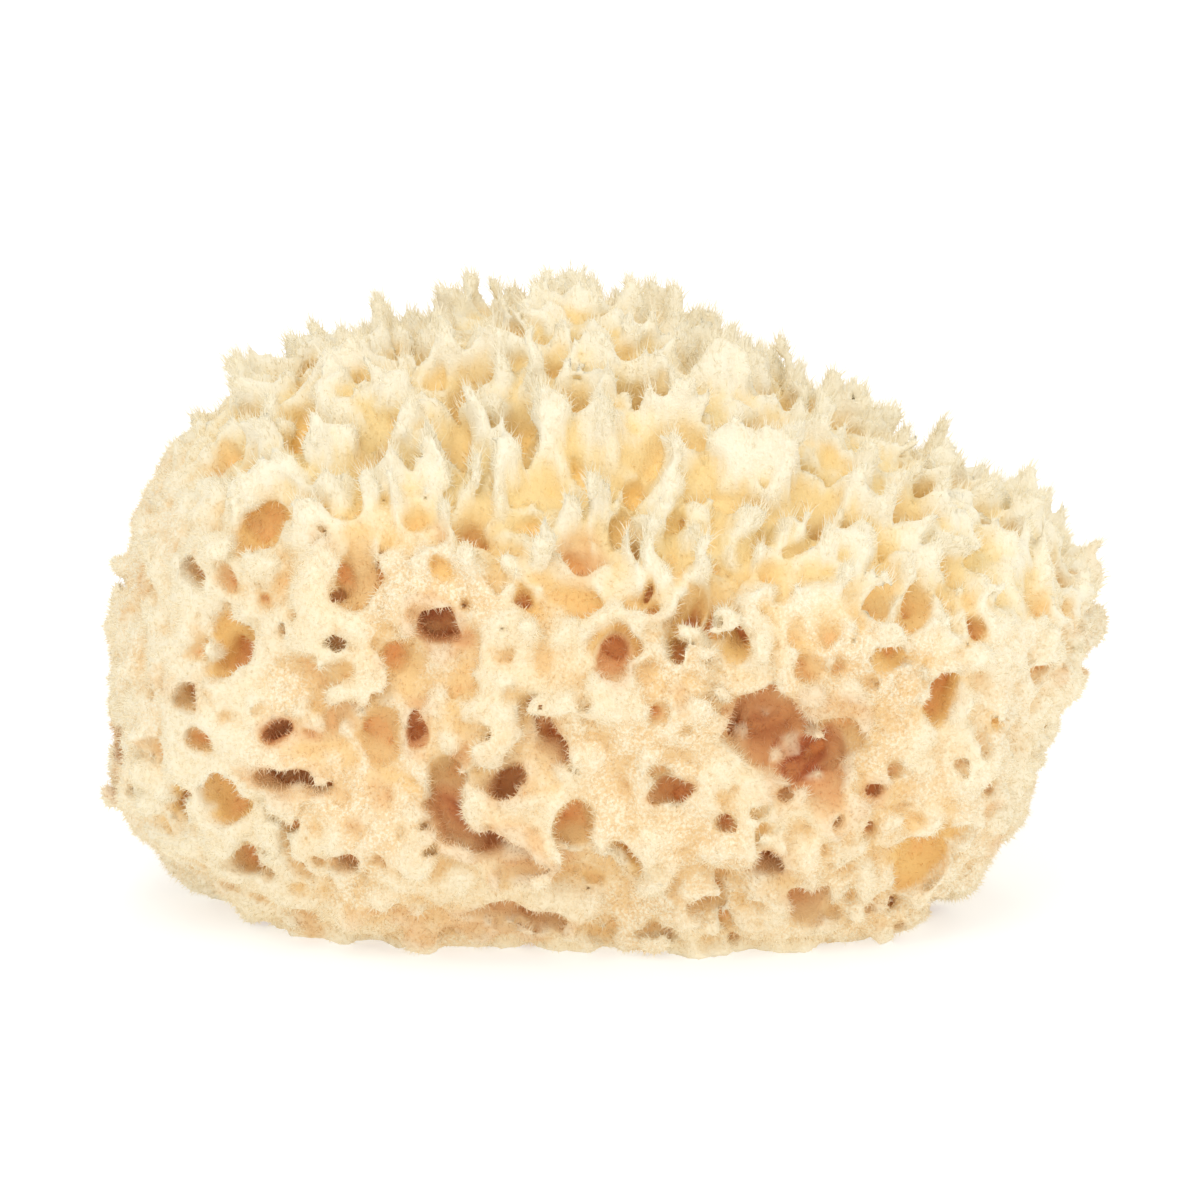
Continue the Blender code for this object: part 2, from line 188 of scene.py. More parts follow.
@dataclass(frozen=True)
class Lump:
    """The sponge's outer form before anything is cut from it, measured from its heart."""

    front_depth: float = 47 * MM
    back_depth: float = 50 * MM
    squareness: float = 2.5
    swell: float = 0.036
    swell_cycles: tuple[float, ...] = (2.1, 2.7, 3.6, 4.8, 6.3, 8.0)
    ripple: float = 0.008
    ripple_cycles: tuple[float, ...] = (8.7, 9.9, 11.4, 12.6)
    rounding: float = math.radians(5.0)
    crown_floor: float = 60 * MM
    crown_slope: float = 0.16
    growth_up: float = 0.62

    def outline_radius(self, angle: Array) -> Array:
        """The outline's distance from the heart at each angle, with its corners rounded."""
        points = np.array(OUTLINE_MM) * MM
        turns = np.arctan2(points[:, 1], points[:, 0])
        order = np.argsort(turns)
        radii = np.hypot(points[:, 0], points[:, 1])[order]
        shifts = (-1.0, -0.5, 0.0, 0.5, 1.0)
        blend = [np.interp(angle + shift * self.rounding, turns[order], radii, period=2 * math.pi) for shift in shifts]
        return np.average(blend, axis=0, weights=(1, 2, 2, 2, 1))

    def waves(self, directions: Array, cycles: tuple[float, ...], heights: list[float], seed: int) -> Array:
        """The sum of one wave of each height, each crossing the lump in its own seeded direction."""
        chance = random.Random(seed)
        total = np.zeros(len(directions))
        for count, height in zip(cycles, heights):
            way = np.array([chance.gauss(0, 1) for _ in range(3)])
            way *= count / np.linalg.norm(way)
            total += np.sin(directions @ way * math.pi + chance.uniform(0, 2 * math.pi)) * height
        return total

    def radius(self, directions: Array) -> Array:
        """The lump's distance from the heart along each unit direction."""
        across, up, toward = (directions @ np.array(axis) for axis in (RIGHT, UP, TOWARD))
        edge = self.outline_radius(np.arctan2(up, across))
        depth = np.where(toward > 0, self.front_depth, self.back_depth)
        fill = (np.hypot(across, up) / edge) ** self.squareness + (np.abs(toward) / depth) ** self.squareness
        side_share = np.minimum(1.0, toward**2 * 2.5)
        hills = self.waves(directions, self.swell_cycles, [self.swell / count for count in self.swell_cycles], SEED)
        hills += self.waves(directions, self.ripple_cycles, [self.ripple] * len(self.ripple_cycles), SEED + 1)
        return fill ** (-1 / self.squareness) * (1 + hills * side_share)

    def trim(self, directions: Array) -> Array:
        """How much further out than the solid the sponge is along each unit direction."""
        across, up, toward = (directions @ np.array(axis) for axis in (RIGHT, UP, TOWARD))
        angles, shifts = np.array(OUTLINE_TRIM_MM).T
        shift = np.interp(np.degrees(np.arctan2(up, across)), angles, shifts, period=360)
        return shift * MM * ease(1 - np.abs(toward), 0.2, 0.9)

    def surface(self, directions: list | Array) -> Array:
        """The lump's surface points along these directions, which need no unit length."""
        directions = np.atleast_2d(directions)
        directions = directions / np.linalg.norm(directions, axis=1)[:, None]
        return directions * self.radius(directions)[:, None] + np.array(HEART)

    def outward(self, point: Vector) -> Vector:
        """The lump's outward normal at a surface point."""
        way = (point - HEART).normalized()
        side = way.orthogonal().normalized()
        other = way.cross(side)
        step = 0.03
        around = [way + side * step, way - side * step, way + other * step, way - other * step]
        near = [Vector(p) for p in self.surface(around)]
        normal = (near[0] - near[1]).cross(near[2] - near[3]).normalized()
        return normal if normal.dot(way) > 0 else -normal

    def front_point(self, across: float, up: float) -> Vector:
        """The point of the lump's front that the viewer sees this far across and up from the heart."""
        reach = self.outline_radius(np.array([math.atan2(up, across)]))[0]
        share = max(0.02, 1 - (math.hypot(across, up) / reach) ** self.squareness)
        toward = self.front_depth * share ** (1 / self.squareness)
        for _ in range(4):
            guess = RIGHT * across + UP * up + TOWARD * toward
            found = self.radius(np.array([guess.normalized()]))[0]
            toward *= found / guess.length
        return HEART + guess.normalized() * found

    def is_crown(self, point: Vector) -> bool:
        """Whether the tufts grow at this point."""
        return point.z + self.crown_slope * point.x > self.crown_floor

    def growth(self, point: Vector) -> Vector:
        """The way that the tufts grow at this point: between upright and straight out."""
        out = (point - HEART).normalized()
        return (Vector((0, 0, 1)) * self.growth_up + out * (1 - self.growth_up)).normalized()


@dataclass(frozen=True)
class Canal:
    """A round-footed cone that opens outwards. The walls left between the crown's canals are its tufts."""

    place: Vector
    axis: Vector
    foot: float
    mouth: float
    depth: float
    overshoot: float
    turn: float = 0.0
    squash: float = 1.0
    tone: float = 0.0

    def reach(self) -> float:
        """How far from its place the canal can matter."""
        flare = (self.mouth - self.foot) / self.depth
        return math.hypot(self.depth + self.overshoot, self.mouth + flare * self.overshoot)

    def width_share(self) -> float:
        """How much its colour shows, from 0 for the finest opening to 1."""
        return 1.0

    def gap(self, points: Array) -> Array:
        """Each point's distance from the canal's wall, below 0 inside it."""
        side = self.axis.orthogonal().normalized()
        turned = Matrix((side, self.axis.cross(side), self.axis)).transposed() @ Matrix.Rotation(self.turn, 3, "Z")
        local = (points - np.array(self.place, np.float32)) @ np.array(turned, np.float32)
        height = local[..., 2] + self.depth - self.foot
        flare = (self.mouth - self.foot) / self.depth
        level = np.clip(height, 0, self.depth + self.overshoot)
        ring = np.hypot(local[..., 0] / self.squash, local[..., 1])
        return np.hypot(ring, np.minimum(height, 0)) - self.foot - flare * level


@dataclass(frozen=True)
class Pore:
    """An ellipsoid hollow that is widest a little under the surface."""

    place: Vector
    axis: Vector
    half_width: float
    half_height: float
    lean: float
    depth: float
    tone: float = 0.0
    sink: float = 0.12
    waver: float = 1.0

    def reach(self) -> float:
        """How far from its place the pore can matter."""
        return max(self.half_width, self.half_height, self.depth) + 2 * MM

    def width_share(self) -> float:
        """How much its colour shows, from 0 for the finest opening to 1."""
        return float(ease(np.array(self.half_width), 0.3 * MM, 1.4 * MM))

    def gap(self, points: Array) -> Array:
        """Each point's rough distance from the pore's wall, below 0 inside it."""
        side = UP.cross(self.axis).normalized()
        rise = self.axis.cross(side).normalized()
        turned = Matrix((side, rise, self.axis)).transposed() @ Matrix.Rotation(self.lean, 3, "Z")
        centre = self.place - self.axis * self.depth * self.sink
        size = np.array((self.half_width, self.half_height, self.depth * (1 - self.sink)), np.float32)
        local = (points - np.array(centre, np.float32)) @ np.array(turned, np.float32) / size
        return (np.linalg.norm(local, axis=-1) - 1) * min(self.half_width, self.half_height, size[2])


@dataclass
class Openings:
    """Every canal and pore of the sponge. The large ones come from the same random draws as those of the solid."""

    lump: Lump
    canal_spacing: float = 9.6 * MM
    canal_depth: Pair = (9 * MM, 17 * MM)
    canal_foot: float = 2.7 * MM
    canal_mouth: float = 0.60
    canal_overshoot: float = 7 * MM
    canal_share: float = 0.68  # of the solid's canals, so that felt fills the rest
    notch_spacing: float = 8.5 * MM
    notch_foot: float = 1.1 * MM
    notch_mouth: Pair = (1.5 * MM, 2.3 * MM)
    notch_depth: Pair = (6 * MM, 12 * MM)
    front_waver: float = 0.6
    pore_spacing: float = 12.5 * MM
    pore_width: Pair = (1.9 * MM, 4.4 * MM)
    pore_height: Pair = (0.8, 1.5)  # of the width, as the depths of these pores are
    pore_depth: Pair = (1.8, 3.0)
    rust_depth: float = 12 * MM
    lean: float = 0.8
    cut_pore_spacing: float = 12 * MM
    cut_clear: float = 9 * MM
    cut_overshoot: float = 16 * MM
    small_spacing: float = 3.4 * MM
    small_width: Pair = (0.5 * MM, 1.9 * MM)
    small_height: Pair = (0.8, 1.6)
    small_depth: Pair = (0.8, 1.6)
    small_tone: Pair = (0.2, 0.8)
    canals: list[Canal] = field(default_factory=list)
    pores: list[Pore] = field(default_factory=list)

    def grow(self) -> None:
        """Places everything, in the solid's own order."""
        chance = random.Random(SEED)
        taken = self.crown_canals(chance)
        taken += self.front_pores(FRONT_PORES_MM)
        self.flank_pores(chance, taken)
        self.cut_pores(chance)
        self.front_pores(FRONT_PINHOLES_MM)
        self.front_pores(FRONT_DISHES_MM)
        self.small_pores(random.Random(SEED + 2))
        self.notches(random.Random(SEED + 3))
        log.info("openings: %d canals and %d pores", len(self.canals), len(self.pores))

    def spread(self, chance: random.Random, spacing: float, wanted: Callable, taken: list[Vector], tries: int) -> list:
        """Points of the lump, spaced apart, for which wanted is true.

        Args:
            chance: The source of the random directions.
            spacing: The least distance between two points.
            wanted: A test that takes a point.
            taken: Points that the new ones also keep clear of.
            tries: How many directions are drawn.

        Returns:
            The points, in the order they were drawn.
        """
        kept: list[Vector] = []
        directions = [[chance.gauss(0, 1) for _ in range(3)] for _ in range(tries)]
        for place in map(Vector, self.lump.surface(directions)):
            if wanted(place) and all((place - other).length > spacing for other in [*kept, *taken]):
                kept.append(place)
        return kept

    def crown_canals(self, chance: random.Random) -> list[Vector]:
        """The canals whose leftover walls are the tufts. Returns their mouths."""
        mouths = self.spread(chance, self.canal_spacing, self.lump.is_crown, [], 30000)
        for place in mouths:
            gaps = sorted((place - other).length for other in mouths if other is not place)[:4]
            over_floor = place.z + self.lump.crown_slope * place.x - self.lump.crown_floor
            fullness = min(1.0, 0.45 + over_floor / (18 * MM))
            depth = chance.uniform(*self.canal_depth) * fullness
            turn = chance.uniform(0, math.pi)
            squash = chance.uniform(0.82, 1.0)
            mouth = self.canal_share * self.canal_mouth * sum(gaps) / len(gaps)
            axis = self.lump.growth(place)
            self.canals.append(Canal(place, axis, self.canal_foot, mouth, depth, self.canal_overshoot, turn, squash))
        return mouths

    def front_pores(self, listed: tuple) -> list[Vector]:
        """The pores of the front, where the viewer sees them. Returns their places."""
        places = []
        for across, up, half_width, half_height, lean, depth, tone in listed:
            places.append(self.lump.front_point(across * MM, up * MM))
            sizes = (half_width * MM, half_height * MM, math.radians(lean), depth * MM)
            self.pores.append(
                Pore(places[-1], self.lump.outward(places[-1]), *sizes, tone.value, waver=self.front_waver)
            )
        return places

    def flank_pores(self, chance: random.Random, taken: list[Vector]) -> None:
        """Pores like those of the front, in the ends and the back."""

        def wanted(point: Vector) -> bool:
            """Whether a point is on the flanks and away from the front."""
            return not self.lump.is_crown(point) and point.z > 7 * MM and (point - HEART).dot(TOWARD) < 14 * MM

        for place in self.spread(chance, self.pore_spacing, wanted, taken, 9000):
            half_width = chance.uniform(*self.pore_width)
            half_height = half_width * chance.uniform(*self.pore_height)
            depth = half_width * chance.uniform(*self.pore_depth)
            lean = chance.uniform(-self.lean, self.lean)
            # Painted shade: the deeper a pore, the browner its inside is painted.
            tone = min(1.0, depth / self.rust_depth)
            self.pores.append(Pore(place, self.lump.outward(place), half_width, half_height, lean, depth, tone))

    def cut_pores(self, chance: random.Random) -> None:
        """The round canals that open in the flat cut."""
        kept: list[Vector] = []
        for _ in range(900):
            place = Vector((chance.uniform(-52, 52) * MM, chance.uniform(-32, 26) * MM, 0))
            clear = math.hypot(place.x, place.y) > self.cut_clear
            if clear and all((place - other).length > self.cut_pore_spacing for other in kept):
                kept.append(place)
        for place in kept:
            radius = chance.uniform(1.8, 3.4) * MM
            down = Vector((0, 0, -1))
            sizes = (radius * 0.7, radius, radius * 3, self.cut_overshoot)
            self.canals.append(Canal(place, down, *sizes, tone=BROWN.value))

    def small_pores(self, chance: random.Random) -> None:
        """The fine pores that cover the flanks between the large ones."""

        def wanted(point: Vector) -> bool:
            """Whether a point is on the flanks, above the cut."""
            return point.z > 2 * MM and point.z + self.lump.crown_slope * point.x < self.lump.crown_floor + 6 * MM

        for place in self.spread(chance, self.small_spacing, wanted, [], 9000):
            half_width = self.small_width[0] + (self.small_width[1] - self.small_width[0]) * chance.random() ** 2
            half_height = half_width * chance.uniform(*self.small_height)
            depth = half_width * chance.uniform(*self.small_depth)
            lean = chance.uniform(-self.lean, self.lean)
            tone = chance.uniform(*self.small_tone)
            self.pores.append(Pore(place, self.lump.outward(place), half_width, half_height, lean, depth, tone))

    def notches(self, chance: random.Random) -> None:
        """Narrow canals between the large ones, which part the tufts."""
        for place in self.spread(chance, self.notch_spacing, self.lump.is_crown, [], 12000):
            mouth = chance.uniform(*self.notch_mouth)
            depth = chance.uniform(*self.notch_depth)
            turn = chance.uniform(0, math.pi)
            axis = self.lump.growth(place)
            self.canals.append(Canal(place, axis, self.notch_foot, mouth, depth, self.canal_overshoot, turn, 0.75))


@dataclass
class SpongeField:
    """The sponge as distances on a grid: below 0 in the fibre skeleton, above 0 outside it and in its hollows."""

    lump: Lump
    openings: Openings
    step: float = 0.7 * MM
    low: Triple = (-79 * MM, -56 * MM, -3 * MM)
    high: Triple = (79 * MM, 56 * MM, 101 * MM)
    pull_in: float = 1.2 * MM  # room for the loose fibres inside the outline
    crown_edge: Pair = (-9 * MM, 7 * MM)  # where the flanks turn into the crown, from the crown's floor
    calm_edge: Pair = (38 * MM, 62 * MM)  # where the smoother ends begin, from the middle
    canal_rim: float = 1.0 * MM
    pore_rim: float = 0.4 * MM
    dent: float = 1.3 * MM
    crease: float = 1.6 * MM
    pock: float = 2.6 * MM
    felt: float = 0.38 * MM
    streak: float = 1.0 * MM
    tuft_spacing: float = 5.6 * MM
    tuft_height: float = 4.2 * MM
    tuft_radii: Pair = (3.4 * MM, 2.6 * MM)
    tuft_turn: float = 0.7
    tuft_drop: float = 1.8 * MM
    tuft_power: float = 1.35
    tuft_jag: float = 1.5 * MM
    crowd_cells: tuple[int, ...] = (2, 5)
    cover_cells: tuple[int, ...] = (9,)
    focus_drop: float = 37 * MM  # how far below the cut the lines of growth would meet
    crown_radius: float = 110 * MM

    def build(self) -> None:
        """Works out the whole field."""
        self.axes = [np.arange(low, high, self.step, dtype=np.float32) for low, high in zip(self.low, self.high)]
        shape = tuple(len(axis) for axis in self.axes)
        self.points = np.stack(np.meshgrid(*self.axes, indexing="ij"), axis=-1)
        from_heart = (self.points - np.array(HEART, np.float32)).reshape(-1, 3)
        distance = np.maximum(np.linalg.norm(from_heart, axis=1), 1e-6)
        ways = from_heart / distance[:, None]
        radius = self.lump.radius(ways) + self.lump.trim(ways)
        self.depth = (radius - distance).astype(np.float32).reshape(shape)
        self.tone = np.zeros(shape, np.float32)
        self.hollow = np.zeros(shape, np.float32)
        over_floor = self.points[..., 2] + self.lump.crown_slope * self.points[..., 0] - self.lump.crown_floor
        self.crown = ease(over_floor, *self.crown_edge)
        self.calm = ease(np.abs(self.points[..., 0]), *self.calm_edge)

        self.values = self.pull_in - self.depth
        self.warp = np.stack([self.warped(21 + axis) for axis in range(3)], axis=-1)
        self.crumple()
        self.point_tufts()
        for canal in self.openings.canals:
            self.carve(canal, 1.0, self.canal_rim)
        for pore in self.openings.pores:
            self.carve(pore, pore.waver, self.pore_rim)
        self.fray()
        rough = self.noise(2.4 * MM, 43) + 0.6 * self.noise(1.5 * MM, 44)
        self.values += rough * self.felt * (1 - 0.75 * self.crown)
        self.values = np.maximum(self.values, -self.points[..., 2])
        self.crowd = self.crowding(self.crowd_cells)
        self.cover = self.crowding(self.cover_cells)

    def noise(self, wavelength: float, seed: int) -> Array:
        """Smooth random values on the whole grid, of unit spread, by cubic splines along each axis in turn."""
        chance = np.random.default_rng(seed)
        rows = []
        for axis in self.axes:
            place = (axis - axis[0]) / wavelength + 1
            node = np.floor(place).astype(int)
            share = place - node
            weights = np.zeros((len(axis), node[-1] + 3), np.float32)
            spline = (
                (1 - share) ** 3 / 6,
                (3 * share**3 - 6 * share**2 + 4) / 6,
                (-3 * share**3 + 3 * share**2 + 3 * share + 1) / 6,
                share**3 / 6,
            )
            for offset, weight in enumerate(spline):
                weights[np.arange(len(axis)), node - 1 + offset] = weight
            rows.append(weights)
        made = chance.standard_normal([row.shape[1] for row in rows]).astype(np.float32)
        for row in rows:
            made = np.moveaxis(np.tensordot(row, made, axes=(1, 0)), 0, -1)
        return made / made.std()

    def warped(self, seed: int) -> Array:
        """How far the walls of the openings stray along one axis."""
        slow = self.noise(9 * MM, seed) * 0.9 * MM
        return slow + self.noise(4 * MM, seed + 10) * 0.8 * MM + self.noise(2 * MM, seed + 20) * 0.42 * MM

    def crowding(self, reaches: tuple[int, ...]) -> Array:
        """How much of the space round each point is fibre: half of it on flat felt, and more in a hollow.

        Args:
            reaches: How many cells round each point are counted. Several numbers are averaged.
        """
        total = np.zeros(self.values.shape, np.float32)
        for cells in reaches:
            filled = (self.values < 0).astype(np.float32)
            for axis in (0, 1, 2, 0, 1, 2):
                pads = [(cells + 1, cells) if axis == other else (0, 0) for other in range(3)]
                sums = np.moveaxis(np.cumsum(np.pad(filled, pads, mode="edge"), axis=axis), axis, 0)
                width = 2 * cells + 1
                filled = np.moveaxis((sums[width:] - sums[:-width]) / width, 0, axis)
            total += filled / len(reaches)
        return total

    def crumple(self) -> None:
        """Dents the flanks, puffs their felt up between creases, and pocks it."""
        flank = (1 - 0.7 * self.crown) * (1 - 0.25 * self.calm)
        dents = ease(self.noise(11 * MM, 40), 0.2, 1.6) * 2
        billow = 0.9 - 0.8 * np.abs(self.noise(6.0 * MM, 41)) - 0.6 * np.abs(self.noise(3.0 * MM, 42))
        patches = ease(self.noise(13 * MM, 46), -1.2, 0.8)
        pocks = ease(self.noise(2.6 * MM, 45) + 0.4 * self.noise(1.5 * MM, 47), 0.85, 1.9) * patches
        self.values += flank * (self.dent * dents + self.crease * billow + self.pock * pocks)

    def growth_lines(self, places: Array) -> Array:
        """Where each place's line of growth runs across the crown, and how far along it the place is."""
        from_focus = places + np.array((0, 0, self.focus_drop), np.float32)
        far = np.linalg.norm(from_focus, axis=1)
        lines = from_focus / far[:, None] * self.crown_radius
        lines[:, 2] = far
        return lines

    def point_tufts(self) -> None:
        """Cuts the crown into flat-sided tufts: a steep wedge round each of many scattered lines of growth."""
        band = (self.crown > 0.02) & (self.depth > -2 * MM) & (self.depth < 16 * MM)
        lines = self.growth_lines(self.points[band])[:, :2] + self.warp[band][:, :2] * 1.3
        cell = np.floor(lines / self.tuft_spacing).astype(int)
        chance = np.random.default_rng(SEED + 5)
        jitter = chance.uniform(0.08, 0.92, (LATTICE, LATTICE, 2))
        drop = chance.uniform(0, self.tuft_drop, (LATTICE, LATTICE))
        turn = chance.uniform(-self.tuft_turn, self.tuft_turn, (LATTICE, LATTICE))
        lowest = np.full(len(lines), 1.0)
        for step in np.ndindex(3, 3):
            near = cell + np.array(step) - 1
            pick = tuple((near & (LATTICE - 1)).T)
            centre = (near + jitter[pick]) * self.tuft_spacing
            angle = turn[pick]
            across, toward = (lines - centre).T
            along = (across * np.cos(angle) + toward * np.sin(angle)) / self.tuft_radii[0]
            aside = (toward * np.cos(angle) - across * np.sin(angle)) / self.tuft_radii[1]
            wedge = drop[pick] + self.tuft_height * np.hypot(along, aside) ** self.tuft_power
            lowest = np.minimum(lowest, wedge)
        flat = np.hstack([lines, lines[:, :1] * 0]).astype(np.float32)
        jag = 1 - lattice_noise(flat, (2.3 * MM, 2.3 * MM, 1.0), 53) - 0.6 * lattice_noise(flat, (1.3 * MM,) * 3, 54)
        lowest += np.maximum(jag, 0) * self.tuft_jag
        slope = 1 / math.hypot(1, 1.5 * self.tuft_height / self.tuft_radii[1])
        sunk = lowest * self.crown[band] - self.depth[band] + self.pull_in
        self.values[band] = soft_max(self.values[band], (sunk * slope).astype(np.float32), 0.5 * MM)

    def carve(self, opening: Canal | Pore, warped: float, blend: float) -> None:
        """Cuts one opening out, and notes its tone around it.

        Args:
            opening: The canal or pore.
            warped: How much of the warp bends its walls.
            blend: The distance over which its rim is rounded.
        """
        reach = opening.reach() + 2 * MM
        place = opening.place
        window = tuple(
            slice(max(0, int((place[axis] - reach - self.low[axis]) / self.step)),
                  max(0, int((place[axis] + reach - self.low[axis]) / self.step) + 1))
            for axis in range(3)
        )
        gap = opening.gap(self.points[window] + self.warp[window] * warped)
        self.values[window] = soft_max(self.values[window], -gap, blend)
        inside = ease(-gap, -2.0 * MM, -0.2 * MM) * opening.width_share()
        self.tone[window] = np.maximum(self.tone[window], inside * opening.tone)
        self.hollow[window] = np.maximum(self.hollow[window], inside)

    def fray(self) -> None:
        """Splits the tufts into strands that run the way they grow."""
        band = (np.abs(self.values) < 3 * MM) & (self.crown > 0.02)
        lines = self.growth_lines(self.points[band])
        coarse = lattice_noise(lines, (2.9 * MM, 2.9 * MM, 20 * MM), 51)
        fine = lattice_noise(lines, (1.5 * MM, 1.5 * MM, 12 * MM), 52)
        near_tip = 1 - ease(self.depth[band], 1 * MM, 9 * MM)
        amount = self.crown[band] * (0.6 + 0.8 * near_tip)
        self.values[band] += (coarse * 1.2 + fine * 0.8) * amount * self.streak

    def sample(self, grid: Array, places: Array) -> Array:
        """The grid's value at each place, between its points."""
        scaled = (places - np.array(self.low)) / self.step
        near = np.clip(np.floor(scaled).astype(int), 0, np.array(grid.shape) - 2)
        return sum(weight * grid[tuple((near + bits).T)] for bits, weight in corners(scaled - near))

    def surface(self) -> tuple[Array, Array]:
        """The field's surface as points and outward quads, without its loose crumbs."""
        grid = openvdb.FloatGrid(1.0)
        grid.copyFromArray(np.ascontiguousarray(self.values / self.step))
        points, quads = grid.convertToQuads(isovalue=0.0)
        points, quads = largest_island(points, quads)
        return points * self.step + np.array(self.low), quads


def largest_island(points: Array, faces: Array) -> tuple[Array, Array]:
    """Keeps the faces that hang together with the most others, and the points that they use."""
    label = np.arange(len(points))
    edges = np.vstack([faces[:, [side, (side + 1) % faces.shape[1]]] for side in range(faces.shape[1])])
    while True:
        lowest = np.minimum(label[edges[:, 0]], label[edges[:, 1]])
        fresh = label.copy()
        np.minimum.at(fresh, edges[:, 0], lowest)
        np.minimum.at(fresh, edges[:, 1], lowest)
        fresh = fresh[fresh]
        if np.array_equal(fresh, label):
            break
        label = fresh
    kept = label == np.bincount(label).argmax()
    faces = faces[kept[faces[:, 0]]]
    number = np.cumsum(kept) - 1
    return points[kept], number[faces]


def plain_mesh(source: Object) -> Mesh:
    """Takes an object's mesh with its modifiers worked in, and clears them."""
    graph = bpy.context.evaluated_depsgraph_get()
    mesh = bpy.data.meshes.new_from_object(source.evaluated_get(graph))
    source.modifiers.clear()
    return mesh


def show(name: str, mesh: Mesh) -> Object:
    """Puts a mesh into the scene under this name."""
    mesh.name = name
    made = bpy.data.objects.new(name, mesh)
    bpy.context.scene.collection.objects.link(made)
    return made


def gather(items: bpy.types.bpy_prop_collection, key: str, width: int = 1, kind: type = np.float32) -> Array:
    """One property of every item of a mesh, with an item's numbers to a row where it has several."""
    flat = np.zeros(len(items) * width, kind)
    items.foreach_get(key, flat)
    return flat.reshape(-1, width) if width > 1 else flat


def triangles(mesh: Mesh) -> int:
    """How many triangles the mesh has."""
    return sum(len(face.vertices) - 2 for face in mesh.polygons)


def painted_area(mesh: Mesh, name: str) -> float:
    """The mesh's area, with each triangle counted by the mean of a number stored at its corners."""
    mesh.calc_loop_triangles()
    values = gather(mesh.attributes[name].data, "value")
    means = values[gather(mesh.loop_triangles, "vertices", 3, np.int32)].mean(axis=1)
    return float((means * gather(mesh.loop_triangles, "area")).sum())


@dataclass
class SpongeBody:
    """The fibre skeleton itself, as one closed mesh."""

    field: SpongeField
    most_triangles: int = 196000
    flat_below: float = 0.3 * MM
    sampled: tuple[str, ...] = ("depth", "tone", "hollow", "crown", "calm", "crowd", "cover")

    def build(self) -> Object:
        """Meshes the field, thins it, and paints what its finish and its fibres need."""
        points, faces = self.field.surface()
        mesh = bpy.data.meshes.new("sponge_body")
        mesh.from_pydata(points.tolist(), [], faces.tolist())
        made = show("sponge_body", mesh)
        thin = made.modifiers.new("thin", "DECIMATE")
        thin.ratio = self.most_triangles / (2 * len(faces))
        made.data = plain_mesh(made)
        made.data.shade_smooth()
        places = gather(made.data.vertices, "co", 3).astype(float)
        places[:, 2] = np.where(places[:, 2] < self.flat_below, 0.0, places[:, 2])
        self.paint(made.data, places)
        places += np.array(CENTRING)
        made.data.vertices.foreach_set("co", places.astype(np.float32).ravel())
        made.data.update()
        log.info("%s: %d triangles", made.name, triangles(made.data))
        return made

    def paint(self, mesh: Mesh, places: Array) -> None:
        """Notes at each point how deep, how brown and how much of the crown it is, and where fibres grow."""
        numbers = {name: self.field.sample(getattr(self.field, name), places) for name in self.sampled}
        depth, hollow, crown, crowd = (numbers[name] for name in ("depth", "hollow", "crown", "crowd"))
        sharp = self.sharpness(mesh, places)
        above = ease(places[:, 2], 0.3 * MM, 1.5 * MM)
        near_top = 1 - ease(depth, 4 * MM, 11 * MM)
        open_share = (1 - 0.45 * hollow * ease(depth, 2 * MM, 4 * MM)) * (1 - 0.5 * ease(crowd, 0.5, 0.62))
        numbers.update({
            "depth": depth / MM,
            "ridge": ease(sharp, 0.02, 0.28),
            "brush": crown * near_top * ease(sharp, 0.16, 0.34) * above,
            "fringe": (0.15 + ease(sharp, 0.08, 0.26)) * above * (1 - 0.5 * crown),
            "fuzz": (1 - 0.8 * crown) * above * open_share,
        })
        for name, values in numbers.items():
            made = mesh.attributes.new(name, "FLOAT", "POINT")
            made.data.foreach_set("value", values.astype(np.float32))

    def sharpness(self, mesh: Mesh, places: Array) -> Array:
        """How far each point stands out over those around it, in millimetres, smoothed once."""
        edges = gather(mesh.edges, "vertices", 2, np.int32)
        both = np.vstack([edges, edges[:, ::-1]])
        count = np.bincount(both[:, 0], minlength=len(places))[:, None]

        def around(values: Array) -> Array:
            """The mean of each point's neighbours."""
            columns = [
                np.bincount(both[:, 0], weights=values[both[:, 1], column], minlength=len(places))
                for column in range(values.shape[1])
            ]
            return np.stack(columns, axis=1) / count

        wide = around(around(places))
        standing = ((places - wide) * gather(mesh.vertices, "normal", 3)).sum(axis=1)
        return around(standing[:, None])[:, 0] / MM


